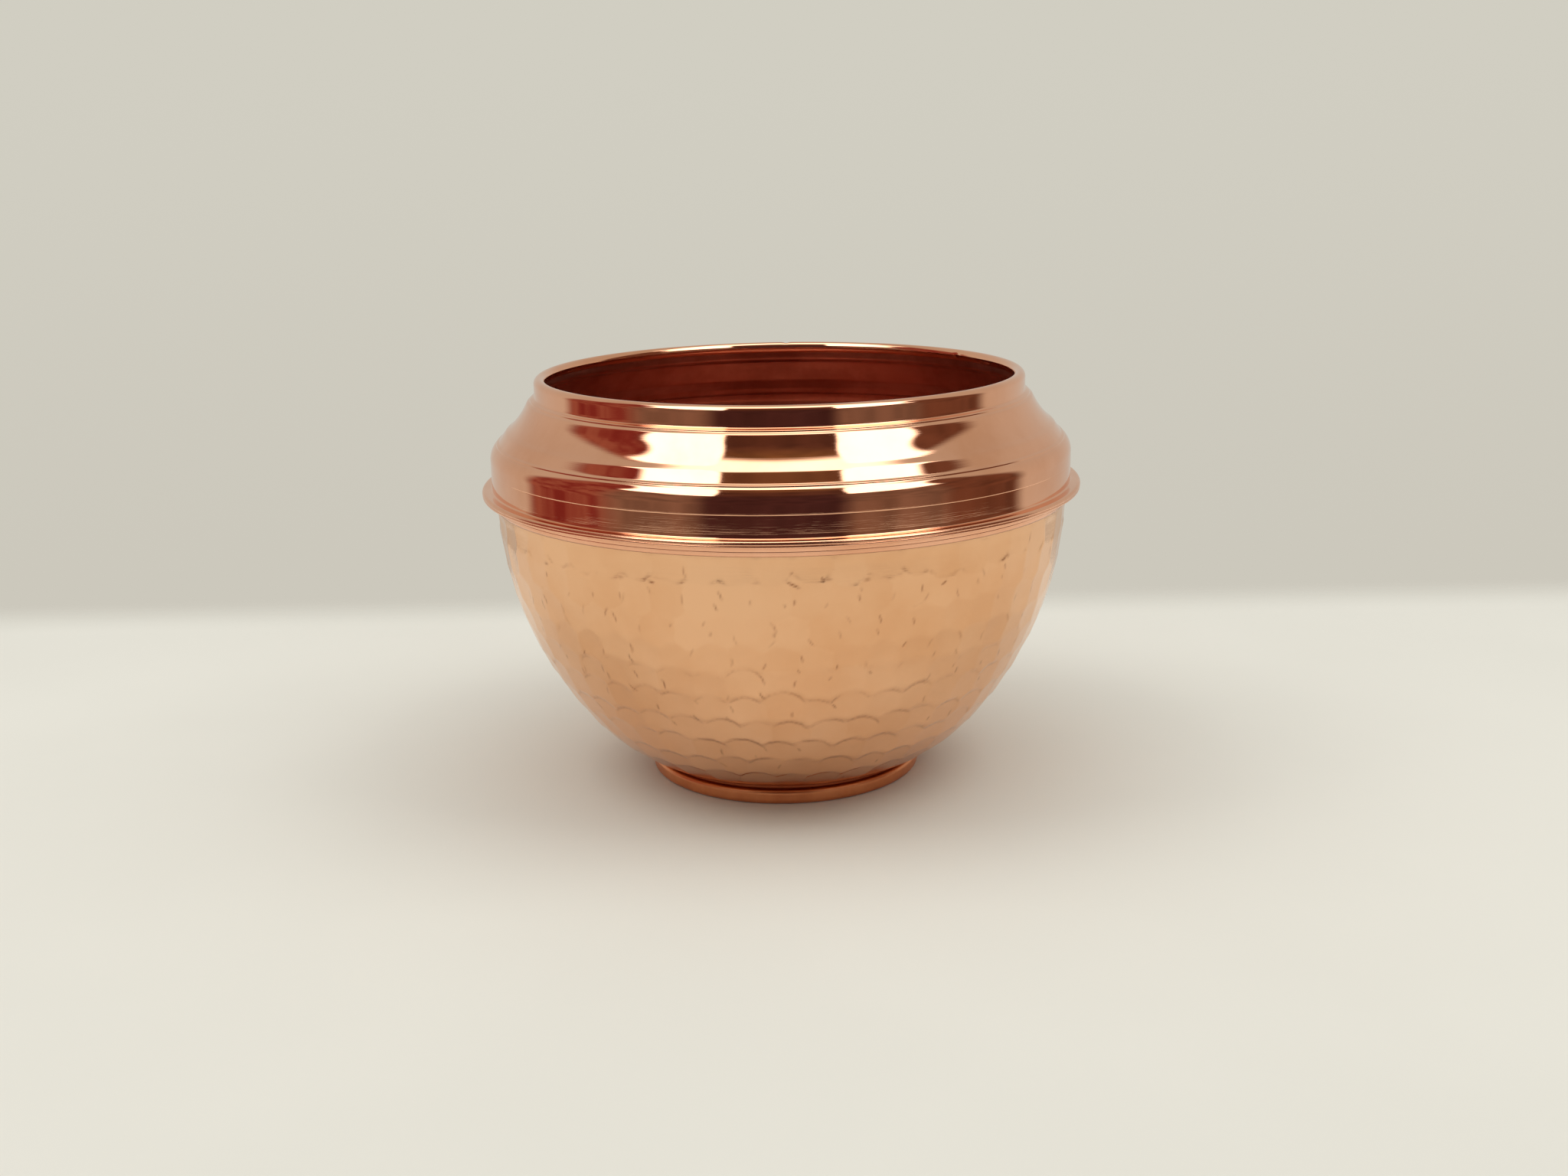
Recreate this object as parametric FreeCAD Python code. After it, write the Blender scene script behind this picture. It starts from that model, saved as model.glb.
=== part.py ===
import FreeCAD, Part
import math
import os

# Hammered copper bowl with a polished shoulder, in millimetres, +Z up.
# The origin is the centre of the foot, on the surface that the bowl stands on.
# Every piece is turned about the Z axis, so each outline is drawn as (radius, height).

# Sheet and wire gauges
BOWL_SHEET = 1.2
SHOULDER_SHEET = 0.8
FOOT_SHEET = 1.0
RIM_WIRE_RADIUS = 1.65

# Foot ring: a neck under the bowl's base, ending in a rolled lip
BASE_HEIGHT = 9.0
FOOT_NECK_RADIUS = 55.4
FOOT_LIP_RADIUS = 57.8
FOOT_LIP_HEIGHT = 6.2
FOOT_LIP_DEPTH = 4.6
FOOT_LIP_TURN = 3.4
FOOT_LIP_BENDS = [1.5, 2.0, 1.6]
FOOT_NECK_BEND = 0.5
SOLDER_LEG = 2.2

# Bowl: the hammered wall's outline, from its flat base to the straight band under the seam
BASE_RADIUS = 59.9
BASE_BEND = 9.0
LOWER_BELLY = (75.7, 17.5, 78.6)
UPPER_BELLY_HEIGHT = 71.0
UPPER_BELLY_BEND = 145.0
WALL_RADIUS = 119.3

# Seam: the shoulder's skirt is folded round the bowl's flange and pressed flat against the wall
BEAD_RADIUS = 125.0
FLANGE_HEIGHT = 124.1
SEAM_STRIP_BOTTOM = 119.2
SEAM_INNER_BEND = 0.4
SKIRT_FLARE = 2.5

# Shoulder: a straight band, two soft bulges between two ledges, then an upright collar
BAND_RADIUS = 120.9
BAND_TOP = 141.2
BAND_ROUND = 7.0
LOWER_LEDGE = [(119.0, 144.2, 1.0), (116.9, 145.2, 0.8)]
BULGES = [(115.3, 147.7, 5.0), (110.6, 152.0, 6.0)]
UPPER_LEDGE = [(104.7, 161.6, 1.6), (101.8, 163.2, 0.9)]
COLLAR_RADIUS = 101.8

# Rim: the collar's top edge is rolled inward round a wire
RIM_TOP = 171.0
RIM_ROLL = RIM_WIRE_RADIUS + SHOULDER_SHEET
ROLL_END_GAP = 1.6


def point(radius, height):
    """A point of an outline, in the XZ plane."""
    return FreeCAD.Vector(radius, 0, height)


def directions(corners):
    """The unit direction of each straight run between corners."""
    runs = []
    for start, end in zip(corners, corners[1:]):
        step = point(end[0] - start[0], end[1] - start[1])
        runs.append(step.normalize())
    return runs


def left_of(direction):
    """The unit normal on the left of a direction, which is the inner side of an outline drawn upward."""
    return point(-direction.z, direction.x)


def turn_between(before, after):
    """The signed angle that a path turns through at a corner, positive to the left."""
    return math.atan2(before.x * after.z - before.z * after.x, before.dot(after))


def shifted_left(corners, distance):
    """The path moved to its left by a sheet's thickness, with its bends about the same centres."""
    runs = directions(corners)
    runs = [runs[0]] + runs + [runs[-1]]
    moved = []
    for (radius, height, bend), before, after in zip(corners, runs, runs[1:]):
        n_before, n_after = left_of(before), left_of(after)
        shift = (n_before + n_after) * (distance / (1 + n_before.dot(n_after)))
        turn = turn_between(before, after)
        side = (turn > 0) - (turn < 0)
        moved.append((radius + shift.x, height + shift.z, bend - side * distance))
    return moved


def rounded_path(corners):
    """Straight runs joined by tangent arcs: each corner is (radius, height, bend radius)."""
    runs = directions(corners)
    edges = []
    here = point(*corners[0][:2])
    for (radius, height, bend), before, after in zip(corners[1:-1], runs, runs[1:]):
        turn = turn_between(before, after)
        corner = point(radius, height)
        reach = bend * math.tan(abs(turn) / 2)
        arc_start = corner - before * reach
        arc_end = corner + after * reach
        inward = (after - before).normalize()
        middle = corner + inward * (bend / math.cos(turn / 2) - bend)
        if here.distanceToPoint(arc_start) > 1e-6:
            edges.append(Part.makeLine(here, arc_start))
        edges.append(Part.Arc(arc_start, middle, arc_end).toShape())
        here = arc_end
    last = point(*corners[-1][:2])
    if here.distanceToPoint(last) > 1e-6:
        edges.append(Part.makeLine(here, last))
    return edges


def turned(edges):
    """The solid that a closed outline sweeps once round the Z axis."""
    outline = Part.Wire(Part.sortEdges(edges)[0])
    return Part.Face(outline).revolve(FreeCAD.Vector(0, 0, 0), FreeCAD.Vector(0, 0, 1), 360)


def turned_sheet(corners, thickness):
    """A sheet of even thickness turned about Z, from the path of its outer face, drawn upward."""
    inner = shifted_left(corners, thickness)
    caps = [Part.makeLine(point(*corners[end][:2]), point(*inner[end][:2])) for end in (0, -1)]
    return turned(rounded_path(corners) + rounded_path(inner) + caps)


def make_bowl():
    """Raised bowl in one sheet: flat base, round belly, straight band and an outward flange."""
    outline = [
        (0, BASE_HEIGHT, 0),
        (BASE_RADIUS, BASE_HEIGHT, BASE_BEND),
        LOWER_BELLY,
        (WALL_RADIUS, UPPER_BELLY_HEIGHT, UPPER_BELLY_BEND),
        (WALL_RADIUS, FLANGE_HEIGHT, SEAM_INNER_BEND + SHOULDER_SHEET),
        (BEAD_RADIUS - SHOULDER_SHEET - BOWL_SHEET / 2, FLANGE_HEIGHT, 0),
    ]
    return turned_sheet(outline, BOWL_SHEET)


def make_shoulder():
    """Spun shoulder in one sheet: folded seam, band, two bulges, collar and the roll of the rim."""
    fold_bottom = FLANGE_HEIGHT - SHOULDER_SHEET
    fold_top = FLANGE_HEIGHT + BOWL_SHEET + SHOULDER_SHEET
    fold_bend = (fold_top - fold_bottom) / 2
    strip_radius = WALL_RADIUS + SHOULDER_SHEET
    seam = [
        (strip_radius, SEAM_STRIP_BOTTOM, 0),
        (strip_radius, fold_bottom, SEAM_INNER_BEND),
        (BEAD_RADIUS, fold_bottom, fold_bend),
        (BEAD_RADIUS, fold_top, fold_bend),
        (BAND_RADIUS, fold_top, SKIRT_FLARE),
    ]
    profile = [(BAND_RADIUS, BAND_TOP, BAND_ROUND)] + LOWER_LEDGE + BULGES + UPPER_LEDGE
    roll_inside = COLLAR_RADIUS - 2 * RIM_ROLL
    roll_bottom = RIM_TOP - 2 * RIM_ROLL
    roll = [
        (COLLAR_RADIUS, RIM_TOP, RIM_ROLL),
        (roll_inside, RIM_TOP, RIM_ROLL),
        (roll_inside, roll_bottom, RIM_ROLL),
        (COLLAR_RADIUS - ROLL_END_GAP, roll_bottom, 0),
    ]
    return turned_sheet(seam + profile + roll, SHOULDER_SHEET)


def make_rim_wire():
    """Round wire inside the rolled rim."""
    centre = FreeCAD.Vector(0, 0, RIM_TOP - RIM_ROLL)
    return Part.makeTorus(COLLAR_RADIUS - RIM_ROLL, RIM_WIRE_RADIUS, centre)


def make_foot_ring():
    """Foot ring: a lip rolled inward at the bottom, and a neck that meets the bowl's base."""
    inner_bend, outer_bend, upper_bend = FOOT_LIP_BENDS
    lip = [
        (FOOT_LIP_RADIUS - FOOT_LIP_DEPTH, FOOT_LIP_TURN, 0),
        (FOOT_LIP_RADIUS - FOOT_LIP_DEPTH, 0, inner_bend),
        (FOOT_LIP_RADIUS, 0, outer_bend),
        (FOOT_LIP_RADIUS, FOOT_LIP_HEIGHT, upper_bend),
        (FOOT_NECK_RADIUS, FOOT_LIP_HEIGHT, FOOT_NECK_BEND),
        (FOOT_NECK_RADIUS, BASE_HEIGHT, 0),
    ]
    return turned_sheet(lip, FOOT_SHEET)


def make_foot_solder():
    """Hollow fillet of solder in the corner between the neck of the foot and the base."""
    neck_inside = FOOT_NECK_RADIUS - FOOT_SHEET
    corner = point(neck_inside, BASE_HEIGHT)
    on_base = point(neck_inside - SOLDER_LEG, BASE_HEIGHT)
    on_neck = point(neck_inside, BASE_HEIGHT - SOLDER_LEG)
    dip = SOLDER_LEG * (1 - math.sqrt(0.5))
    hollow = Part.Arc(on_base, point(neck_inside - dip, BASE_HEIGHT - dip), on_neck)
    sides = [Part.makeLine(corner, on_base), Part.makeLine(corner, on_neck)]
    return turned(sides + [hollow.toShape()])


PIECES = {
    "hammered_bowl": make_bowl,
    "polished_shoulder": make_shoulder,
    "rim_wire": make_rim_wire,
    "foot_ring": make_foot_ring,
    "foot_solder": make_foot_solder,
}

os.makedirs("parts", exist_ok=True)
for node, make in PIECES.items():
    shape = make()
    shape.exportStep("parts/" + node + ".step")
    box = shape.optimalBoundingBox(True, False)
    print(node, shape.ShapeType, "valid", shape.isValid(), "volume", round(shape.Volume, 1))
    print("  radius", round(box.XMax, 2), "height", round(box.ZMin, 2), "to", round(box.ZMax, 2))
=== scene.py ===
"""Hammered copper bowl: the looks of each piece, the stage, the light and the camera."""
import math

import bpy
import numpy as np
from mathutils import Matrix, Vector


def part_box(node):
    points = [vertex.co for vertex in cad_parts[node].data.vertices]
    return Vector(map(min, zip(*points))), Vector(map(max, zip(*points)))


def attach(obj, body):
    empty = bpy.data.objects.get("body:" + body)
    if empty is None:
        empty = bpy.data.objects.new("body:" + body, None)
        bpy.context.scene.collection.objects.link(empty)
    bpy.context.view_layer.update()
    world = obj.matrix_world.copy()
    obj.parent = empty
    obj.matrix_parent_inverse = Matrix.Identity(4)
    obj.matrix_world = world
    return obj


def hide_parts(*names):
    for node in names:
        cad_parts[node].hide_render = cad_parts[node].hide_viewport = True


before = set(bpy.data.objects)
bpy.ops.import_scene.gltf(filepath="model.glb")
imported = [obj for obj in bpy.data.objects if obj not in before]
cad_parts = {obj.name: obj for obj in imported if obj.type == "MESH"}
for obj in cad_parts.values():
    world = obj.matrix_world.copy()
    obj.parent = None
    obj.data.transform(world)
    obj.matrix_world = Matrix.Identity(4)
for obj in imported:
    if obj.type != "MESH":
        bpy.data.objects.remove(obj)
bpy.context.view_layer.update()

MM = 0.001
SEED = 20

# ---------------------------------------------------------------- sizes, in millimetres
# Places that the frame gives
BEAD_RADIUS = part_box("polished_shoulder")[1].x / MM
STRIP_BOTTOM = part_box("polished_shoulder")[0].z / MM
RIM_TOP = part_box("polished_shoulder")[1].z / MM
FLANGE_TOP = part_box("hammered_bowl")[1].z / MM
BASE_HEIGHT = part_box("hammered_bowl")[0].z / MM
FOOT_LIP_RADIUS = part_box("foot_ring")[1].x / MM

# Sheets
BOWL_SHEET = 1.2
SHOULDER_SHEET = 0.8
FOOT_SHEET = 1.0

# Bowl outline, where a corner is (radius, height, bend radius)
BASE_RADIUS = 59.9
BASE_BEND = 9.0
WALL_RADIUS = BEAD_RADIUS - 5.7
FLANGE_HEIGHT = FLANGE_TOP - BOWL_SHEET
FLANGE_BEND = 1.2
LOWER_BELLY = (75.7, 17.5, 78.6)
UPPER_BELLY = (WALL_RADIUS, 71.0, 145.0)

# Shoulder: the strip pressed on the wall, the bead where the sheet is folded round the flange, the band
STRIP_RADIUS = WALL_RADIUS + SHOULDER_SHEET
STRIP_EDGE_DEPTH = 0.3
STRIP_LINE_RADIUS = STRIP_RADIUS - 0.16
STRIP_LINE_HEIGHT = STRIP_BOTTOM + 1.9
STRIP_BEND = 0.4
FOLD_BOTTOM = FLANGE_HEIGHT - SHOULDER_SHEET
FOLD_TOP = FLANGE_TOP + SHOULDER_SHEET
LOWER_BEAD_RADIUS = BEAD_RADIUS - 0.1
BAND_RADIUS = BEAD_RADIUS - 4.1
BAND_LINE_HEIGHT = STRIP_BOTTOM + 15.4
COLLAR_RADIUS = BEAD_RADIUS - 23.2

# Corners of the shoulder's polished face, each (radius, height, bend radius)
BEAD_NOTCH = [(LOWER_BEAD_RADIUS, 124.25, 0.3), (BEAD_RADIUS - 0.28, 124.4, 0.03), (BEAD_RADIUS, 124.55, 0.4)]
BAND_TOP = [(BAND_RADIUS, 141.3, 8.0)]
LOWER_LEDGE = [(118.9, 143.7, 0.3), (118.1, 144.3, 0.2), (118.0, 144.8, 0.2), (116.9, 145.4, 0.5)]
BULGES = [(114.0, 149.4, 5.0), (112.0, 150.9, 3.0), (108.5, 154.3, 30.0), (104.8, 161.1, 1.6)]
UPPER_LEDGE = [(103.6, 161.8, 0.25), (103.5, 162.3, 0.2), (COLLAR_RADIUS, 163.2, 0.4)]

# The same stretch without its fine edges, which the sheet's inner face follows
PLAIN_BAND_TOP = [(BAND_RADIUS, 141.2, 7.0)]
PLAIN_LEDGE = [(119.0, 144.2, 1.0), (116.9, 145.2, 0.8)]
PLAIN_BULGES = [(115.3, 147.7, 5.0), (110.6, 152.0, 6.0), (104.7, 161.6, 1.6), (COLLAR_RADIUS, 163.2, 0.9)]

# Rolled rim
RIM_ROLL = 2.45
ROLL_INSIDE = COLLAR_RADIUS - 2 * RIM_ROLL
ROLL_BOTTOM = RIM_TOP - 2 * RIM_ROLL
ROLL_END_GAP = 1.6

# Foot ring
FOOT_NECK_RADIUS = FOOT_LIP_RADIUS - 2.4
FOOT_LIP_HEIGHT = 6.2
FOOT_LIP_DEPTH = 4.6
FOOT_LIP_TURN = 3.4

# Hammer marks: shallow round facets in level rows, which fade out below the seam. The top row is row 0.
# The lean of a row times the slope says how much deeper its marks are struck towards their upper side.
MARK_RADIUS = 8.2
MARK_PITCH = 13.3
ROW_PITCH = 12.8
FIRST_ROW_HEIGHT = 115.0
MARK_DEPTH = 0.38
MARKS_TOP = 118.6
MARKS_FADE = 3.0
FIRST_LARGE_ROW = 4
LARGE_ROW_GROWTH = 1.12
LAST_LINED_ROW = 4
MARK_SLOPE = 0.021
ROW_LEANS = (-1.3, -0.4, -0.1, 0.3, 1.2, 1.9)

# Dark lines: painted shade along a mark's edge and in the hollow side of a step, and dark spots where a nick
# was struck
EDGE_INSET = 0.5
EDGE_HALF_WIDTH = 0.33
EDGE_DARKNESS = 0.8
EDGE_DEPTH = 0.05
HOLLOW_GAIN = 3.2
HOLLOW_START = 0.06
HOLLOW_MOST = 0.28
NICK_PLACE = 0.75
NICK_HALF_SIZE = (1.1, 0.5)

# Scratches on the belly: turn about Z in degrees, height, half length, slant in radians
SCRATCHES = [
    (271.8, 108.4, 2.5, -0.5),
    (246.0, 108.0, 1.2, -0.3),
    (300.5, 104.0, 1.1, 0.5),
    (277.0, 110.2, 0.8, -0.9),
]
SCRATCH_HALF_WIDTH = 0.38

# How many points go round each sheet
SHOULDER_COLUMNS = 600
BOWL_COLUMNS = 1100
BOWL_INNER_COLUMNS = 330
FOOT_COLUMNS = 480


# ---------------------------------------------------------------- outlines
def directions(corners):
    """The unit direction of each straight run between corners."""
    runs = np.diff(np.array([corner[:2] for corner in corners], float), axis=0)
    return runs / np.linalg.norm(runs, axis=1)[:, None]


def rounded(corners, step, bend_step):
    """Points along straight runs joined by tangent arcs; each corner is (radius, height, bend radius)."""
    at = np.array([corner[:2] for corner in corners], float)
    runs = directions(corners)
    out = [at[0]]

    def go_to(target):
        start = out[-1]
        gap = np.linalg.norm(target - start)
        count = max(1, math.ceil(gap / step))
        if gap > 1e-6:
            out.extend(start + (target - start) * (k / count) for k in range(1, count + 1))

    for corner, (_, _, bend), before, after in zip(at[1:-1], corners[1:-1], runs, runs[1:]):
        turn = math.atan2(before[0] * after[1] - before[1] * after[0], before @ after)
        reach = bend * math.tan(abs(turn) / 2)
        go_to(corner - before * reach)
        side = math.copysign(1, turn)
        centre = out[-1] + side * bend * np.array([-before[1], before[0]])
        spoke = out[-1] - centre
        count = max(2, math.ceil(abs(turn) * bend / bend_step))
        for k in range(1, count + 1):
            c, s = math.cos(turn * k / count), math.sin(turn * k / count)
            out.append(centre + np.array([c * spoke[0] - s * spoke[1], s * spoke[0] + c * spoke[1]]))
    go_to(at[-1])
    return np.array(out)


def shifted_left(corners, distance):
    """The outline moved to its left by a sheet's thickness, with its bends about the same centres."""
    least_bend = 0.05
    runs = directions(corners)
    runs = np.vstack([runs[:1], runs, runs[-1:]])
    moved = []
    for (radius, height, bend), before, after in zip(corners, runs, runs[1:]):
        n_before, n_after = np.array([-before[1], before[0]]), np.array([-after[1], after[0]])
        shift = (n_before + n_after) * (distance / (1 + n_before @ n_after))
        turn = before[0] * after[1] - before[1] * after[0]
        side = math.copysign(1, turn) if abs(turn) > 1e-9 else 0
        moved.append((radius + shift[0], height + shift[1], max(bend - side * distance, least_bend)))
    return moved


def groove(radius, height, depth, width):
    """Three corners that cut a fine line into an upright wall."""
    bend = 0.08
    return [
        (radius, height - width / 2, bend),
        (radius - depth, height, bend),
        (radius, height + width / 2, bend),
    ]


def shoulder_outline():
    """The two faces of the shoulder's sheet, each drawn from the strip up to the rolled rim."""
    strip_top = [(STRIP_RADIUS, FOLD_BOTTOM, STRIP_BEND)]
    roll = [
        (COLLAR_RADIUS, RIM_TOP, RIM_ROLL),
        (ROLL_INSIDE, RIM_TOP, RIM_ROLL),
        (ROLL_INSIDE, ROLL_BOTTOM, RIM_ROLL),
        (COLLAR_RADIUS - ROLL_END_GAP, ROLL_BOTTOM, 0),
    ]
    outer = [(STRIP_RADIUS - STRIP_EDGE_DEPTH, STRIP_BOTTOM, 0)]
    outer += groove(STRIP_LINE_RADIUS, STRIP_LINE_HEIGHT, depth=0.06, width=0.36)
    outer += strip_top + [(LOWER_BEAD_RADIUS, FOLD_BOTTOM, 0.5)] + BEAD_NOTCH
    outer += [(BEAD_RADIUS, FOLD_TOP, 1.2), (BAND_RADIUS, FOLD_TOP, 0.6)]
    outer += groove(BAND_RADIUS, BAND_LINE_HEIGHT, depth=0.035, width=0.5)
    outer += BAND_TOP + LOWER_LEDGE + BULGES + UPPER_LEDGE + roll

    plain = [(STRIP_RADIUS, STRIP_BOTTOM, 0)] + strip_top
    plain += [(BEAD_RADIUS, FOLD_BOTTOM, 1.4), (BEAD_RADIUS, FOLD_TOP, 1.4), (BAND_RADIUS, FOLD_TOP, 2.5)]
    plain += PLAIN_BAND_TOP + PLAIN_LEDGE + PLAIN_BULGES + roll
    inner = shifted_left(plain, SHOULDER_SHEET)
    return rounded(outer, step=1.0, bend_step=0.22), rounded(inner, step=1.4, bend_step=0.5)


def bowl_outline():
    """The corners of the bowl's outer face, from the axis up to the end of the flange."""
    return [
        (0, BASE_HEIGHT, 0),
        (BASE_RADIUS, BASE_HEIGHT, BASE_BEND),
        LOWER_BELLY,
        UPPER_BELLY,
        (WALL_RADIUS, FLANGE_HEIGHT, FLANGE_BEND),
        (BEAD_RADIUS - SHOULDER_SHEET - BOWL_SHEET / 2, FLANGE_HEIGHT, 0),
    ]


def foot_outline():
    """The corners of the foot's outer face, from the rolled lip's inner end up to the bowl's base."""
    return [
        (FOOT_LIP_RADIUS - FOOT_LIP_DEPTH, FOOT_LIP_TURN, 0),
        (FOOT_LIP_RADIUS - FOOT_LIP_DEPTH, 0, 1.5),
        (FOOT_LIP_RADIUS, 0, 2.0),
        (FOOT_LIP_RADIUS, FOOT_LIP_HEIGHT, 1.6),
        (FOOT_NECK_RADIUS, FOOT_LIP_HEIGHT, 0.5),
        (FOOT_NECK_RADIUS, BASE_HEIGHT, 0),
    ]


def length_along(outline):
    """How far along an outline each of its points lies."""
    return np.concatenate([[0], np.cumsum(np.linalg.norm(np.diff(outline, axis=0), axis=1))])


# ---------------------------------------------------------------- meshes
def make_piece(name, points, faces, material_of_face, materials):
    """A smooth-shaded mesh object in metres from points in millimetres."""
    mesh = bpy.data.meshes.new(name)
    mesh.from_pydata((np.asarray(points) * MM).tolist(), [], [list(map(int, f)) for f in faces])
    for material in materials:
        mesh.materials.append(material)
    mesh.polygons.foreach_set("material_index", np.asarray(material_of_face, np.int32))
    mesh.polygons.foreach_set("use_smooth", np.ones(len(mesh.polygons), bool))
    piece = bpy.data.objects.new(name, mesh)
    bpy.context.scene.collection.objects.link(piece)
    return piece


def add_attribute(piece, name, values):
    """One number per point of a piece's mesh, which its material reads."""
    layer = piece.data.attributes.new(name, "FLOAT", "POINT")
    layer.data.foreach_set("value", np.asarray(values, np.float32))


def ring_angles(columns):
    """The angle of each column of a ring grid."""
    return np.arange(columns) * (2 * math.pi / columns)


def round_ring(values, columns):
    """One value per ring repeated for every column; values that already vary round the rings stay."""
    values = np.asarray(values, float)
    return values if values.ndim == 2 else np.repeat(values[:, None], columns, axis=1)


def ring_grid(radii, heights, columns):
    """Points of rings about Z, as an array of shape (rings, columns, 3)."""
    angle = ring_angles(columns)
    radii = round_ring(radii, columns)
    heights = round_ring(heights, columns)
    return np.stack([radii * np.cos(angle), radii * np.sin(angle), heights], axis=2)


def grid_faces(rings, columns, first=0, closed=False):
    """Quads between neighbouring rings of a grid; closed also joins the last ring to the first."""
    row = np.arange(rings if closed else rings - 1)[:, None]
    col = np.arange(columns)[None, :]
    next_row, next_col = (row + 1) % rings, (col + 1) % columns
    corners = [(row, col), (row, next_col), (next_row, next_col), (next_row, col)]
    quads = np.stack([ring * columns + column for ring, column in corners], axis=2)
    return (quads.reshape(-1, 4) + first).tolist()


def fan_faces(pole, first, columns, outward):
    """Triangles from the point on the axis to the ring that starts at first."""
    around = [(first + k, first + (k + 1) % columns) for k in range(columns)]
    return [[pole, b, a] if outward else [pole, a, b] for a, b in around]


def stitch_faces(first_a, columns_a, first_b, columns_b):
    """Triangles between two rings with different numbers of points, a being the finer."""
    faces = []
    i = j = 0
    while i < columns_a or j < columns_b:
        a = first_a + i % columns_a
        b = first_b + j % columns_b
        if j >= columns_b or (i < columns_a and (i + 1) * columns_b <= (j + 1) * columns_a):
            faces.append([a, first_a + (i + 1) % columns_a, b])
            i += 1
        else:
            faces.append([a, first_b + (j + 1) % columns_b, b])
            j += 1
    return faces


def ripple(angle, along, rng, waves, longest, height):
    """Small slow unevenness of a spun or raised sheet, in millimetres."""
    total = np.zeros(np.broadcast(angle, along).shape)
    for _ in range(waves):
        turns = rng.integers(2, 26)
        rise = rng.uniform(-1, 1) * 2 * math.pi / longest
        total += rng.uniform(0.3, 1) * np.sin(turns * angle + rise * along + rng.uniform(0, 2 * math.pi))
    return total * (height / math.sqrt(waves))


def rippled(points, loop, rng, free, **waviness):
    """The points of a turned sheet, each ring moved in and out by a ripple as far as it is free."""
    angle = ring_angles(points.shape[1])[None, :]
    wave = ripple(angle, loop[:, 1][:, None], rng, **waviness) * free[:, None]
    points[..., 0] += wave * np.cos(angle)
    points[..., 1] += wave * np.sin(angle)
    return points


def dent(points, angle, radius, height, size, push):
    """Pushes the points near one place of a turned piece by the vector push = (outward, up)."""
    centre = np.array([radius * math.cos(angle), radius * math.sin(angle), height])
    weight = np.exp(-((points - centre) ** 2).sum(axis=-1) / size ** 2)
    outward = np.array([math.cos(angle), math.sin(angle), 0])
    return points + weight[..., None] * (push[0] * outward + np.array([0, 0, push[1]]))


# ---------------------------------------------------------------- node helpers
class Graph:
    """Short names for building a node tree."""

    def __init__(self, tree):
        self.tree = tree
        tree.nodes.clear()

    def add(self, kind, settings=None, **inputs):
        """A node with its inputs set by name, with _ for a space, or as i1, i2 by number."""
        node = self.tree.nodes.new(kind)
        for key, value in (settings or {}).items():
            setattr(node, key, value)
        for key, value in inputs.items():
            numbered = key[0] == "i" and key[1:].isdigit()
            self.put(node.inputs[int(key[1:]) if numbered else key.replace("_", " ")], value)
        return node

    def put(self, socket, value):
        """Links a socket's value to the socket, or sets any other value on it."""
        if isinstance(value, bpy.types.NodeSocket):
            self.tree.links.new(value, socket)
        else:
            socket.default_value = value

    def math(self, operation, *values, clamp=False):
        node = self.add("ShaderNodeMath", {"operation": operation, "use_clamp": clamp})
        for socket, value in zip(node.inputs, values):
            self.put(socket, value)
        return node.outputs[0]

    def step(self, value, low, high, start=0.0, end=1.0):
        """A smooth step of value from start at low to end at high."""
        node = self.add("ShaderNodeMapRange", {"interpolation_type": "SMOOTHSTEP"})
        for socket, number in zip(node.inputs, (value, low, high, start, end)):
            self.put(socket, number)
        return node.outputs[0]

    def between(self, value, low, high, soft):
        """One where value lies between low and high, with soft edges, and zero elsewhere."""
        up = self.step(value, low - soft, low + soft)
        down = self.step(value, high - soft, high + soft, 1.0, 0.0)
        return self.math("MULTIPLY", up, down)

    def mix(self, factor, a, b, blend="MIX"):
        settings = {"data_type": "RGBA", "blend_type": blend, "clamp_factor": True}
        return self.add("ShaderNodeMix", settings, i0=factor, i6=a, i7=b).outputs[2]

    def noise(self, vector, scale, detail=2.0, roughness=0.5):
        node = self.add("ShaderNodeTexNoise", Vector=vector, Scale=scale, Detail=detail, Roughness=roughness)
        return node.outputs["Fac"]

    def bump(self, height, strength, distance, normal=None):
        node = self.add("ShaderNodeBump", Height=height, Strength=strength, Distance=distance)
        if normal is not None:
            self.put(node.inputs["Normal"], normal)
        return node.outputs["Normal"]


def srgb(red, green, blue):
    """A linear colour from sRGB values of 0 to 255."""
    linear = []
    for value in (red, green, blue):
        part = value / 255
        linear.append(part / 12.92 if part <= 0.04045 else ((part + 0.055) / 1.055) ** 2.4)
    return (*linear, 1.0)


# ---------------------------------------------------------------- materials
def new_material(name):
    """A material and the graph of its empty node tree."""
    material = bpy.data.materials.new(name)
    material.use_nodes = True
    return material, Graph(material.node_tree)


def turning_lines(g, fineness, wander):
    """Noise in fine level lines round the Z axis, as a spinning tool or a polishing mop leaves them."""
    place = g.add("ShaderNodeTexCoord").outputs["Object"]
    x, y, z = g.add("ShaderNodeSeparateXYZ", Vector=place).outputs
    radius = g.math("SQRT", g.math("ADD", g.math("MULTIPLY", x, x), g.math("MULTIPLY", y, y)))

    def drawn_out(value, side):
        """A place across the lines, which drifts slowly as the lines go round."""
        drift = g.math("MULTIPLY", g.math("DIVIDE", side, radius), wander)
        return g.math("ADD", g.math("MULTIPLY", value, fineness), drift)

    vector = g.add("ShaderNodeCombineXYZ", X=drawn_out(radius, x), Y=drawn_out(z, y), Z=0.0).outputs[0]
    return place, g.noise(vector, scale=1.0, detail=3.0, roughness=0.6)


def mesh_value(g, name):
    """The number that the mesh carries at each point under this name."""
    return g.add("ShaderNodeAttribute", {"attribute_name": name}).outputs["Fac"]


def darkened(g, base, dark_colour):
    """The base colour, darkened where the mesh carries marks or painted shade."""
    return g.mix(g.math("MULTIPLY", mesh_value(g, "marks_and_painted_shade"), 0.85, clamp=True), base, dark_colour)


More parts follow.
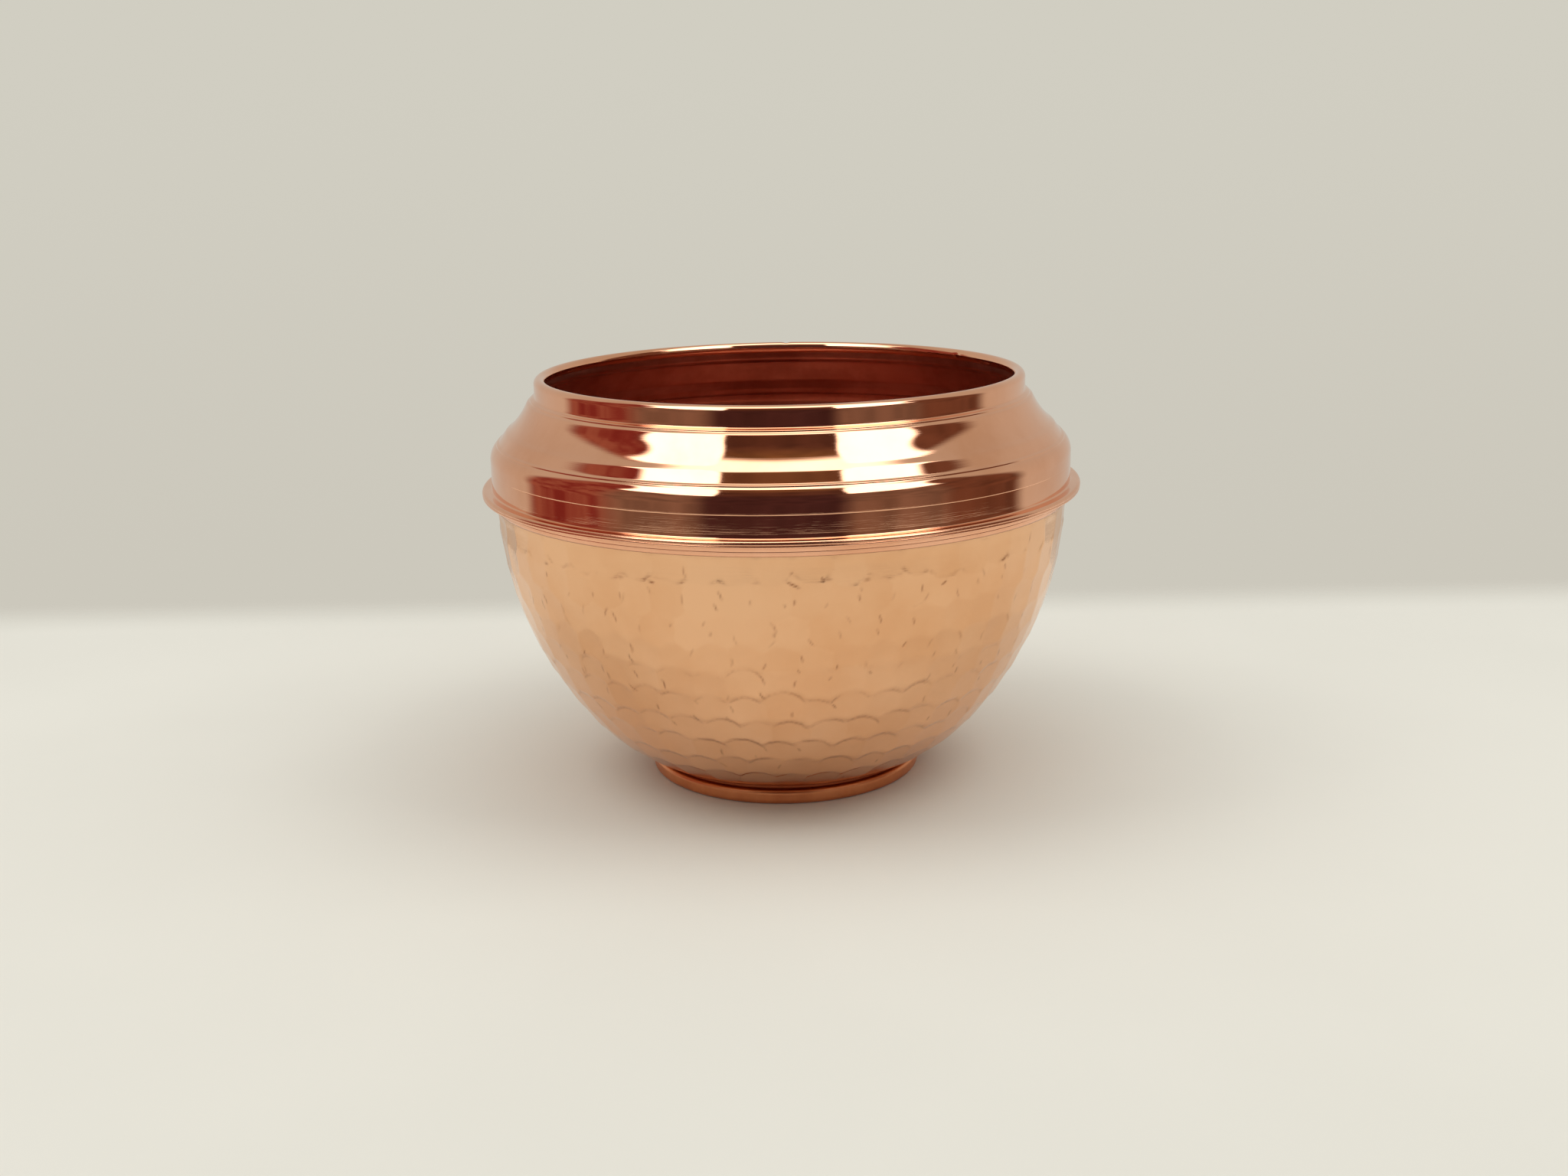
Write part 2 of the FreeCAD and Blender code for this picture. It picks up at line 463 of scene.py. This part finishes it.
def finish_metal(g, colour, roughness, normal, anisotropic=0.0):
    """The metal shader and the material's output; anisotropic draws out its highlights, as brushing does."""
    shader = g.add("ShaderNodeBsdfPrincipled", Base_Color=colour, Metallic=1.0, Roughness=roughness,
                   Normal=normal, Anisotropic=anisotropic)
    if anisotropic:
        tangent = g.add("ShaderNodeTangent", {"direction_type": "RADIAL", "axis": "Z"}).outputs[0]
        g.put(shader.inputs["Tangent"], tangent)
    out = g.add("ShaderNodeOutputMaterial")
    g.tree.links.new(shader.outputs[0], out.inputs["Surface"])


def polished_copper():
    """Mirror-bright spun copper with fine turning lines and a few rubbed places."""
    material, g = new_material("polished_copper")
    place, lines = turning_lines(g, 2600.0, 2.5)
    cloud = g.noise(place, 28.0, 4.0, 0.6)
    colour = g.mix(g.step(cloud, 0.35, 0.75), srgb(250, 190, 155), srgb(240, 176, 138))
    roughness = g.math("ADD", g.step(lines, 0.3, 0.8, 0.025, 0.055), g.step(cloud, 0.4, 0.8, 0.0, 0.02))
    height = g.add("ShaderNodeSeparateXYZ", Vector=place).outputs[2]
    seam_top = (FOLD_TOP - 0.3) * MM
    roughness = g.math("ADD", roughness, g.step(height, seam_top, seam_top + 0.4 * MM, 0.15, 0.0))
    normal = g.bump(lines, 0.04, 0.0002)
    finish_metal(g, colour, roughness, normal)
    return material


def hammered_copper():
    """Satin hammered copper; the mesh carries the dark lines, partly painted shade and partly scratches, and
    how light or dark each mark is.
    """
    material, g = new_material("hammered_copper")
    place, lines = turning_lines(g, 1500.0, 3.0)
    cloud = g.noise(place, 22.0, 4.0, 0.6)
    grain = g.noise(place, 900.0, 2.0, 0.5)
    tone = g.math("MULTIPLY", mesh_value(g, "tone"), 0.22)
    patch = g.math("ADD", g.step(cloud, 0.3, 0.8), tone, clamp=True)
    base = g.mix(patch, srgb(250, 198, 155), srgb(241, 184, 138))
    height = g.add("ShaderNodeSeparateXYZ", Vector=place).outputs[2]
    # painted shade: the belly's colour is a little darker towards the top
    upper = g.step(height, 30 * MM, 85 * MM)
    base = g.mix(upper, base, srgb(246, 245, 243), "MULTIPLY")
    colour = darkened(g, base, srgb(122, 62, 34))
    roughness = g.math("ADD", g.step(lines, 0.3, 0.8, 0.12, 0.17), g.step(cloud, 0.3, 0.8, 0.0, 0.05))
    fine = g.bump(grain, 0.12, 0.0001)
    normal = g.bump(lines, 0.10, 0.0002, fine)
    finish_metal(g, colour, roughness, normal)
    return material


def inner_copper():
    """The unpolished inside: copper browned by heat and pickling, with spinning rings."""
    material, g = new_material("inner_copper")
    place, lines = turning_lines(g, 420.0, 1.5)
    cloud = g.noise(place, 35.0, 5.0, 0.6)
    colour = g.mix(g.step(cloud, 0.3, 0.75), srgb(214, 150, 128), srgb(182, 118, 98))
    roughness = g.step(lines, 0.3, 0.8, 0.32, 0.46)
    normal = g.bump(lines, 0.25, 0.0004)
    finish_metal(g, colour, roughness, normal)
    return material


def foot_copper():
    """Satin copper of the foot ring, darkened by painted shade in the corner above its lip and by a dark
    blot.
    """
    material, g = new_material("foot_copper")
    place, lines = turning_lines(g, 1800.0, 2.0)
    cloud = g.noise(place, 60.0, 4.0, 0.6)
    base = g.mix(g.step(cloud, 0.3, 0.8), srgb(236, 160, 112), srgb(216, 138, 94))
    colour = darkened(g, base, srgb(128, 52, 26))
    roughness = g.step(lines, 0.3, 0.8, 0.30, 0.40)
    normal = g.bump(lines, 0.10, 0.0002)
    finish_metal(g, colour, roughness, normal, 0.2)
    return material


def dull_metal(name, colour_a, colour_b, roughness):
    """Wire or solder: grey metal, mottled."""
    material, g = new_material(name)
    place = g.add("ShaderNodeTexCoord").outputs["Object"]
    cloud = g.noise(place, 240.0, 4.0, 0.6)
    colour = g.mix(g.step(cloud, 0.3, 0.75), colour_a, colour_b)
    normal = g.bump(cloud, 0.3, 0.0003)
    finish_metal(g, colour, g.step(cloud, 0.3, 0.8, roughness - 0.06, roughness + 0.08), normal)
    return material


# ---------------------------------------------------------------- pieces
def make_shoulder(materials):
    """Polished shoulder: a turned sheet with its ledges, bulges, bead and rolled rim."""
    rng = np.random.default_rng(SEED)
    outer, inner = shoulder_outline()
    loop = np.vstack([outer, inner[::-1]])
    points = ring_grid(loop[:, 0], loop[:, 1], SHOULDER_COLUMNS)
    free = np.clip((loop[:, 1] - FOLD_TOP - 1) / 6, 0, 1)
    points = rippled(points, loop, rng, free, waves=9, longest=60.0, height=0.035)
    points = dent(points, angle=math.radians(88), radius=COLLAR_RADIUS - RIM_ROLL, height=RIM_TOP,
                  size=1.2, push=(0.0, -0.5))
    points = dent(points, angle=math.radians(35), radius=ROLL_INSIDE, height=RIM_TOP - RIM_ROLL,
                  size=1.5, push=(0.4, 0.0))
    inside = np.zeros((len(loop), SHOULDER_COLUMNS), int)
    inside[len(outer) - 1:] = 1
    faces = grid_faces(len(loop), SHOULDER_COLUMNS, closed=True)
    piece = make_piece("shoulder_sheet", points.reshape(-1, 3), faces, inside.reshape(-1), materials)
    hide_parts("polished_shoulder")
    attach(piece, "root")


def edge_chance(row):
    """How likely a mark is to show a dark line at each side: least at the top, most in the next rows."""
    if row == 0:
        return 0.12
    return 0.66 if row <= LAST_LINED_ROW else 0.25


def hammer_marks(rng, path, along):
    """Every mark's place along the outline and round the bowl, its size, depth, tilt, tone and edge lines."""
    marks = []
    top = np.interp(FIRST_ROW_HEIGHT, path[:, 1], along)
    low = np.interp(BASE_HEIGHT + 3.0, path[:, 1], along)
    for row in range(int((top - low) / ROW_PITCH) + 1):
        centre = top - row * ROW_PITCH
        radius = np.interp(centre, along, path[:, 0])
        count = round(2 * math.pi * radius / MARK_PITCH)
        start = rng.uniform(0, 1)
        lean = np.interp(row, range(len(ROW_LEANS)), ROW_LEANS)
        growth = LARGE_ROW_GROWTH if row >= FIRST_LARGE_ROW else 1.0
        for k in range(count):
            marks.append({
                "s": centre + rng.normal(0, 0.8),
                "angle": 2 * math.pi * (k + start + rng.normal(0, 0.05)) / count,
                "size": MARK_RADIUS * rng.uniform(0.92, 1.08) * growth,
                "depth": MARK_DEPTH * rng.uniform(0.7, 1.25),
                "rise": MARK_SLOPE * lean + rng.normal(0, 0.005),
                "swing": rng.normal(0, 0.010),
                "edges": rng.uniform(0.3, 0.95, 2) * (rng.random(2) < edge_chance(row)),
                "nick": rng.random() if row == 0 and rng.random() < 0.3 else 0.0,
                "squash": rng.normal(0, 0.04),
                "turn": rng.uniform(0, math.pi),
                "edge_turns": rng.normal(0, 0.4, 2),
                "edge_span": rng.uniform(0.10, 0.27),
                "tone": rng.uniform(-1, 1),
            })
    return marks


def softened(grid):
    """The grid with its steps rounded off: each point averaged with its neighbours."""
    rows = np.pad(grid, ((1, 1), (0, 0)), "edge")
    grid = (rows[:-2] + 2 * rows[1:-1] + rows[2:]) / 4
    return (np.roll(grid, 1, axis=1) + 2 * grid + np.roll(grid, -1, axis=1)) / 4


def hollows(push):
    """How deep each point lies below its neighbours' mean: painted shade darkens the hollow side of a step.
    """
    rows = np.pad(push, ((1, 1), (0, 0)), "edge")
    bend = 4 * push - rows[:-2] - rows[2:] - np.roll(push, 1, axis=1) - np.roll(push, -1, axis=1)
    return np.clip(HOLLOW_GAIN * bend - HOLLOW_START, 0, HOLLOW_MOST)


def edge_lines(mark, away, direction, size):
    """How dark the painted shade lines along the two sides of a mark are."""
    line = np.exp(-((away - size + EDGE_INSET) / EDGE_HALF_WIDTH) ** 2)
    dark = np.zeros_like(line)
    for side, strength, lift in zip((0.0, math.pi), mark["edges"], mark["edge_turns"]):
        off = direction - side - lift
        off -= 2 * math.pi * np.round(off / (2 * math.pi))
        beside = np.exp(-(off / mark["edge_span"]) ** 4)
        dark = np.maximum(dark, EDGE_DARKNESS * strength * line * beside)
    return dark


def scratched(dark, heights):
    """The darkness with the scratches drawn over it."""
    angle = ring_angles(dark.shape[1])
    for turn, height, half_length, slant in SCRATCHES:
        v = (heights - height)[:, None]
        u = ((angle - math.radians(turn)) * WALL_RADIUS)[None, :]
        along = u * math.cos(slant) + v * math.sin(slant)
        across = v * math.cos(slant) - u * math.sin(slant)
        scratch = np.exp(-(across / SCRATCH_HALF_WIDTH) ** 2 - (along / half_length) ** 4)
        dark = np.maximum(dark, scratch)
    return dark


def hammered(points_s, radius, heights, columns, marks):
    """How far the hammer pushed in each point of a grid, how dark it is there, and its mark's tone."""
    push = np.zeros((len(points_s), columns))
    dark = np.zeros_like(push)
    tone = np.zeros_like(push)
    step = 2 * math.pi / columns
    least_radius = 20.0
    past_edge = 1.25
    for m in marks:
        reach = m["size"] * past_edge
        rows = np.nonzero(abs(points_s - m["s"]) < reach)[0]
        if not len(rows):
            continue
        half = int(reach / (max(radius[rows].min(), least_radius) * step)) + 2
        first = int(round(m["angle"] / step)) - half
        cols = np.arange(first, first + 2 * half + 1)
        v = (points_s[rows] - m["s"])[:, None]
        u = (cols * step - m["angle"])[None, :] * radius[rows][:, None]
        away = np.hypot(u, v)
        direction = np.arctan2(v, u)
        size = m["size"] * (1 + m["squash"] * np.cos(2 * (direction - m["turn"])))
        depth = m["depth"] * (1 - (away / size) ** 2) + m["rise"] * v + m["swing"] * u
        depth = np.where(away < size, depth, 0)
        block = np.ix_(rows, cols % columns)
        deepest = depth > push[block]
        tone[block] = np.where(deepest, m["tone"], tone[block])
        push[block] = np.maximum(push[block], depth)
        dark[block] = np.maximum(dark[block], edge_lines(m, away, direction, size))
        if m["nick"]:
            corner = m["size"] * NICK_PLACE
            nick = np.exp(-((v + corner) / NICK_HALF_SIZE[1]) ** 2 - ((u - corner) / NICK_HALF_SIZE[0]) ** 2)
            dark[block] = np.maximum(dark[block], m["nick"] * nick)
    push = softened(push)
    # painted shade in the hollows, then the scratches drawn over it
    dark = scratched(np.maximum(dark, hollows(push)), heights)
    return push, dark, tone


def bowl_face(outline, spacing, columns, marks, marks_length):
    """Rings along one face of the bowl, hammered inward along its normal, with their dark and tone values.

    Marks are placed by length along the outer face, so marks_length is that face's whole length.
    """
    length = length_along(outline)

    def place(s):
        return np.stack([np.interp(s, length, outline[:, 0]), np.interp(s, length, outline[:, 1])], 1)

    first_ring = 4.0
    base_rings = 14
    smoothing = 0.3
    base_end = np.interp(BASE_RADIUS - 6, outline[:, 0], length)
    base = np.linspace(first_ring, base_end, base_rings)
    s = np.concatenate([base, np.arange(base_end + spacing, length[-1], spacing), [length[-1]]])
    r, z = place(s).T
    tangent = place(s + smoothing) - place(s - smoothing)
    tangent /= np.linalg.norm(tangent, axis=1)[:, None]
    push, dark, tone = hammered(s * (marks_length / length[-1]), r, z, columns, marks)
    fade = np.clip((MARKS_TOP - z) / MARKS_FADE, 0, 1) * np.clip((r - BASE_RADIUS + 2) / 6, 0, 1)
    fade = fade[:, None]
    push *= fade
    push += EDGE_DEPTH * np.clip(dark - 0.4, 0, 1) * fade
    wave_rng = np.random.default_rng(SEED + 2)
    angle = ring_angles(columns)[None, :]
    push += ripple(angle, s[:, None], wave_rng, waves=8, longest=70.0, height=0.10) * fade
    radii = r[:, None] - push * tangent[:, 1][:, None]
    heights = z[:, None] + push * tangent[:, 0][:, None]
    return ring_grid(radii, heights, columns), dark * fade, tone * fade


def make_bowl(materials):
    """Hammered bowl: an outer face fine enough to hold every mark, and a coarser inner face."""
    rng = np.random.default_rng(SEED + 1)
    corners = bowl_outline()
    outer_path = rounded(corners, step=0.2, bend_step=0.2)
    inner_path = rounded(shifted_left(corners, BOWL_SHEET), step=0.2, bend_step=0.2)
    along = length_along(outer_path)
    marks = hammer_marks(rng, outer_path, along)
    outer, outer_dark, outer_tone = bowl_face(outer_path, 0.72, BOWL_COLUMNS, marks, along[-1])
    inner, inner_dark, inner_tone = bowl_face(inner_path, 2.0, BOWL_INNER_COLUMNS, marks, along[-1])

    poles = np.array([[0, 0, BASE_HEIGHT], [0, 0, BASE_HEIGHT + BOWL_SHEET]])
    points = np.vstack([outer.reshape(-1, 3), inner.reshape(-1, 3), poles])
    first_inner = len(outer) * BOWL_COLUMNS
    outer_pole, inner_pole = len(points) - 2, len(points) - 1
    last_outer = first_inner - BOWL_COLUMNS
    last_inner = outer_pole - BOWL_INNER_COLUMNS
    inner_grid = grid_faces(len(inner), BOWL_INNER_COLUMNS, first_inner)
    faces, side = [], []
    for part, material in (
        (grid_faces(len(outer), BOWL_COLUMNS), 0),
        ([quad[::-1] for quad in inner_grid], 1),
        (fan_faces(outer_pole, 0, BOWL_COLUMNS, outward=True), 0),
        (fan_faces(inner_pole, first_inner, BOWL_INNER_COLUMNS, outward=False), 1),
        (stitch_faces(last_outer, BOWL_COLUMNS, last_inner, BOWL_INNER_COLUMNS), 0),
    ):
        faces += part
        side += [material] * len(part)
    piece = make_piece("hammered_bowl_sheet", points, faces, side, materials)
    pole_values = [0, 0]
    for name, grids in (("marks_and_painted_shade", (outer_dark, inner_dark)), ("tone", (outer_tone, inner_tone))):
        add_attribute(piece, name, np.concatenate([grid.reshape(-1) for grid in grids] + [pole_values]))
    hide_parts("hammered_bowl")
    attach(piece, "root")


def make_foot(material):
    """Foot ring with its rolled lip, a little uneven, painted shade in the corner above the lip and one dark
    blot.
    """
    rng = np.random.default_rng(SEED + 3)
    corners = foot_outline()
    outer = rounded(corners, step=0.8, bend_step=0.25)
    inner = rounded(shifted_left(corners, FOOT_SHEET), step=0.8, bend_step=0.3)
    loop = np.vstack([outer, inner[::-1]])
    radius, height = loop.T
    points = ring_grid(radius, height, FOOT_COLUMNS)
    free = np.clip(height / 2, 0, 1)
    points = rippled(points, loop, rng, free, waves=7, longest=40.0, height=0.05)
    faces = grid_faces(len(loop), FOOT_COLUMNS, closed=True)
    piece = make_piece("foot_ring_sheet", points.reshape(-1, 3), faces, [0] * len(faces), [material])

    # painted shade in the corner where the neck meets the lip
    corner_painted_shade = np.clip(np.exp(-((radius - FOOT_NECK_RADIUS) / 0.9) ** 2) - 0.2 * (height < 5), 0, 1)
    blot_turn = math.radians(197.0)
    blot_span = 0.022
    blot_height = 6.4
    blot_rise = 1.4
    off_turn = (ring_angles(FOOT_COLUMNS)[None, :] - blot_turn) / blot_span
    off_height = (height[:, None] - blot_height) / blot_rise
    blot = np.exp(-off_turn ** 2 - off_height ** 2)
    add_attribute(piece, "marks_and_painted_shade", np.maximum(corner_painted_shade[:, None], blot).reshape(-1))
    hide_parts("foot_ring")
    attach(piece, "root")


# ---------------------------------------------------------------- stage, light and camera
# Camera: place in metres, tilt and roll in degrees, focal length in millimetres
CAMERA_PLACE = (0.0004, -0.7339, 0.2665)
CAMERA_TILT = 14.49
CAMERA_ROLL = 1.01
CAMERA_LENS = 40.43

# Floor, in metres: the paper that the copper reflects, and where the floor fades out behind and far out
PAPER_RADIUS = 0.642
FLOOR_RADIUS = 3.0
FLOOR_FADE = (0.222, 0.292)
FLOOR_OUTER_FADE = (0.85, 1.7)

# Light of the two windows and the ceiling, which only mirrors see, and of the fill, low and high up
WINDOW_LIGHT = (3.1, 3.06, 2.95, 1)
CEILING_LIGHT = (2.5, 2.48, 2.38, 1)
FILL_LOW = (0.22, 0.22, 0.21, 1)
FILL_HIGH = (0.80, 0.80, 0.76, 1)

# Softboxes: turn from the camera's side and rise in degrees, distance, width and height in metres, watts
SOFTBOXES = {
    "soft_left": (-80.0, 52.0, 1.6, 1.0, 1.0, 6.0),
    "soft_right": (78.0, 52.0, 1.6, 1.0, 1.0, 6.0),
    "soft_top": (0.0, 84.0, 1.8, 1.6, 1.6, 4.2),
}


def make_camera():
    """The camera, at the side of the bowl that the photograph shows."""
    data = bpy.data.cameras.new("camera")
    data.lens = CAMERA_LENS
    data.sensor_width = 36.0
    data.clip_start = 0.01
    camera = bpy.data.objects.new("camera", data)
    turn = Matrix.Rotation(math.radians(90 - CAMERA_TILT), 4, "X") @ \
        Matrix.Rotation(math.radians(-CAMERA_ROLL), 4, "Z")
    camera.matrix_world = Matrix.Translation(CAMERA_PLACE) @ turn
    bpy.context.scene.collection.objects.link(camera)
    bpy.context.scene.camera = camera


def floor_material():
    """Matt off-white paper that fades into the backdrop behind the bowl."""
    material, g = new_material("floor_paper")
    place = g.add("ShaderNodeTexCoord").outputs["Object"]
    axes = g.add("ShaderNodeSeparateXYZ", Vector=place).outputs
    reach = g.math("SQRT", g.math("ADD", g.math("POWER", axes[0], 2.0), g.math("POWER", axes[1], 2.0)))
    cloud = g.noise(place, 5.0, 3.0, 0.5)
    colour = g.mix(g.step(cloud, 0.3, 0.7), (0.80, 0.785, 0.735, 1), (0.82, 0.805, 0.755, 1))
    paper = g.add("ShaderNodeBsdfDiffuse", Color=colour).outputs[0]
    clear = g.add("ShaderNodeBsdfTransparent").outputs[0]
    seen_through = g.math("MAXIMUM", g.step(axes[1], *FLOOR_FADE), g.step(reach, *FLOOR_OUTER_FADE))
    shader = g.add("ShaderNodeMixShader", Fac=seen_through, i1=paper, i2=clear).outputs[0]
    g.tree.links.new(shader, g.add("ShaderNodeOutputMaterial").inputs["Surface"])
    return material


def make_floor(name, inner, outer, material, in_mirrors):
    """A flat ring, or a disc where the inner radius is zero."""
    count = 180
    points = [(math.cos(2 * math.pi * k / count), math.sin(2 * math.pi * k / count)) for k in range(count)]
    mesh = bpy.data.meshes.new(name)
    verts = [(outer * x, outer * y, 0) for x, y in points]
    faces = [tuple(range(count))]
    if inner:
        verts += [(inner * x, inner * y, 0) for x, y in points]
        faces = [(k, (k + 1) % count, count + (k + 1) % count, count + k) for k in range(count)]
    mesh.from_pydata(verts, [], faces)
    mesh.materials.append(material)
    floor = bpy.data.objects.new(name, mesh)
    floor.visible_glossy = in_mirrors
    bpy.context.scene.collection.objects.link(floor)


def sweep_colour(g, rise):
    """The pale paper that goes up behind the bowl, as mirrors see it."""
    sweep = g.mix(g.step(rise, -10.0, 50.0), srgb(200, 196, 186), srgb(190, 187, 178))
    return g.mix(g.step(rise, 58.0, 76.0), sweep, srgb(226, 220, 206))


def room_colour(g, direction, turn, rise):
    """The dim room in front of the bowl, with a reddish cloth on one side and a brown wall on the other."""
    clutter = g.noise(direction, scale=5.0, detail=3.0, roughness=0.55)
    low = g.mix(g.between(turn, -31.0, 25.0, 5.0), srgb(124, 102, 90), srgb(70, 46, 47))
    high = g.mix(g.step(rise, 50.0, 74.0), srgb(88, 60, 50), srgb(128, 98, 66))
    room = g.mix(g.step(rise, 22.0, 48.0), low, high)
    cloth = g.mix(g.step(clutter, 0.38, 0.62), srgb(134, 56, 52), srgb(140, 86, 74))
    room = g.mix(g.between(turn, -120.0, -70.0, 8.0), room, cloth)
    room = g.mix(g.between(turn, 66.0, 110.0, 5.0), room, srgb(106, 74, 60))
    shade = g.step(clutter, 0.3, 0.7, 0.78, 1.2)
    shade = g.add("ShaderNodeCombineXYZ", X=shade, Y=shade, Z=shade).outputs[0]
    return g.mix(1.0, room, shade, "MULTIPLY")


def all_of(g, *masks):
    """One where every mask is one."""
    whole = masks[0]
    for mask in masks[1:]:
        whole = g.math("MULTIPLY", whole, mask)
    return whole


def window_mask(g, aside, depth, height, rise):
    """Two windows, left and right in front of the bowl, whose sides lean together higher up."""

    def past(foot, lean):
        """How far a direction lies outside an edge that stands at foot and leans inward."""
        return g.math("SUBTRACT", aside, g.math("SUBTRACT", foot, g.math("MULTIPLY", height, lean)))

    inner = g.step(past(0.562, 0.30), -0.01, 0.01)
    outer = g.step(past(1.205, 0.755), -0.012, 0.012, 1.0, 0.0)
    return all_of(g, inner, outer, g.step(rise, 32.0, 35.0), g.step(depth, 0.06, 0.12, 1.0, 0.0))


def ceiling_mask(g, aside, depth, rise):
    """A soft bright patch of ceiling over the bowl."""
    front = g.step(depth, -0.36, -0.19)
    back = g.step(depth, 0.18, 0.26, 1.0, 0.0)
    return all_of(g, front, back, g.step(aside, 0.36, 0.46, 1.0, 0.0), g.step(rise, 58.0, 72.0))


def make_world():
    """A pale backdrop for the camera and soft fill; mirrors also see a dim room in front of the bowl."""
    world = bpy.data.worlds.new("studio")
    world.use_nodes = True
    bpy.context.scene.world = world
    g = Graph(world.node_tree)
    direction = g.add("ShaderNodeTexCoord").outputs["Generated"]
    x, y, z = g.add("ShaderNodeSeparateXYZ", Vector=direction).outputs
    rise = g.math("MULTIPLY", g.math("ARCSINE", z), 180 / math.pi)
    turn = g.math("MULTIPLY", g.math("ARCTAN2", x, g.math("MULTIPLY", y, -1.0)), 180 / math.pi)
    aside = g.math("ABSOLUTE", x)

    backdrop = g.mix(g.step(rise, -14.0, 4.0), srgb(204, 200, 188), srgb(209, 206, 194))
    room = room_colour(g, direction, turn, rise)
    room_side = g.math("ABSOLUTE", g.math("ADD", turn, 4.5))
    room_end = g.math("ADD", room_side, g.step(rise, 12.0, 45.0, 0.0, 11.0))
    seen = g.mix(g.step(room_end, 103.5, 113.5), room, sweep_colour(g, rise))
    seen = g.mix(ceiling_mask(g, aside, y, rise), seen, CEILING_LIGHT)
    seen = g.mix(window_mask(g, aside, y, z, rise), seen, WINDOW_LIGHT)

    path = g.add("ShaderNodeLightPath").outputs
    fill = g.mix(g.step(rise, 8.0, 68.0), FILL_LOW, FILL_HIGH)
    light = g.mix(path["Is Glossy Ray"], fill, seen)
    light = g.mix(path["Is Camera Ray"], light, backdrop)
    background = g.add("ShaderNodeBackground", Color=light, Strength=1.0)
    g.tree.links.new(background.outputs[0], g.add("ShaderNodeOutputWorld").inputs["Surface"])


def make_softbox(name, turn, rise, distance, width, height, power):
    """A rectangular light facing the bowl from an azimuth (0 is the camera's side) and an elevation."""
    data = bpy.data.lights.new(name, "AREA")
    data.shape = "RECTANGLE"
    data.size, data.size_y = width, height
    data.energy = power
    data.color = (1.0, 0.98, 0.92)
    light = bpy.data.objects.new(name, data)
    a, e = math.radians(turn), math.radians(rise)
    aim_height = 0.1
    flat = distance * math.cos(e)
    place = (flat * math.sin(a), -flat * math.cos(a), distance * math.sin(e) + aim_height)
    facing = Matrix.Rotation(a, 4, "Z") @ Matrix.Rotation(math.pi / 2 - e, 4, "X")
    light.matrix_world = Matrix.Translation(place) @ facing
    light.visible_glossy = False
    bpy.context.scene.collection.objects.link(light)


def make_stage():
    """The floor, the surroundings, the lights and the camera."""
    paper = floor_material()
    make_floor("paper", 0, PAPER_RADIUS, paper, True)
    make_floor("floor_around", PAPER_RADIUS, FLOOR_RADIUS, paper, False)
    make_world()
    for name, (turn, rise, distance, width, height, power) in SOFTBOXES.items():
        make_softbox(name, turn, rise, distance, width, height, power)
    make_camera()


# ---------------------------------------------------------------- assembly
def main():
    """Makes the visible sheets, gives the wire and the solder their materials, and sets the stage."""
    inside = inner_copper()
    make_shoulder([polished_copper(), inside])
    make_bowl([hammered_copper(), inside])
    make_foot(foot_copper())
    for node, material in (
        ("rim_wire", dull_metal("wire_steel", srgb(120, 116, 110), srgb(92, 84, 76), 0.42)),
        ("foot_solder", dull_metal("solder_tin", srgb(178, 176, 170), srgb(140, 136, 128), 0.38)),
    ):
        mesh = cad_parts[node].data
        mesh.materials.clear()
        mesh.materials.append(material)
    make_stage()
    bpy.context.scene.view_settings.view_transform = "Standard"


main()
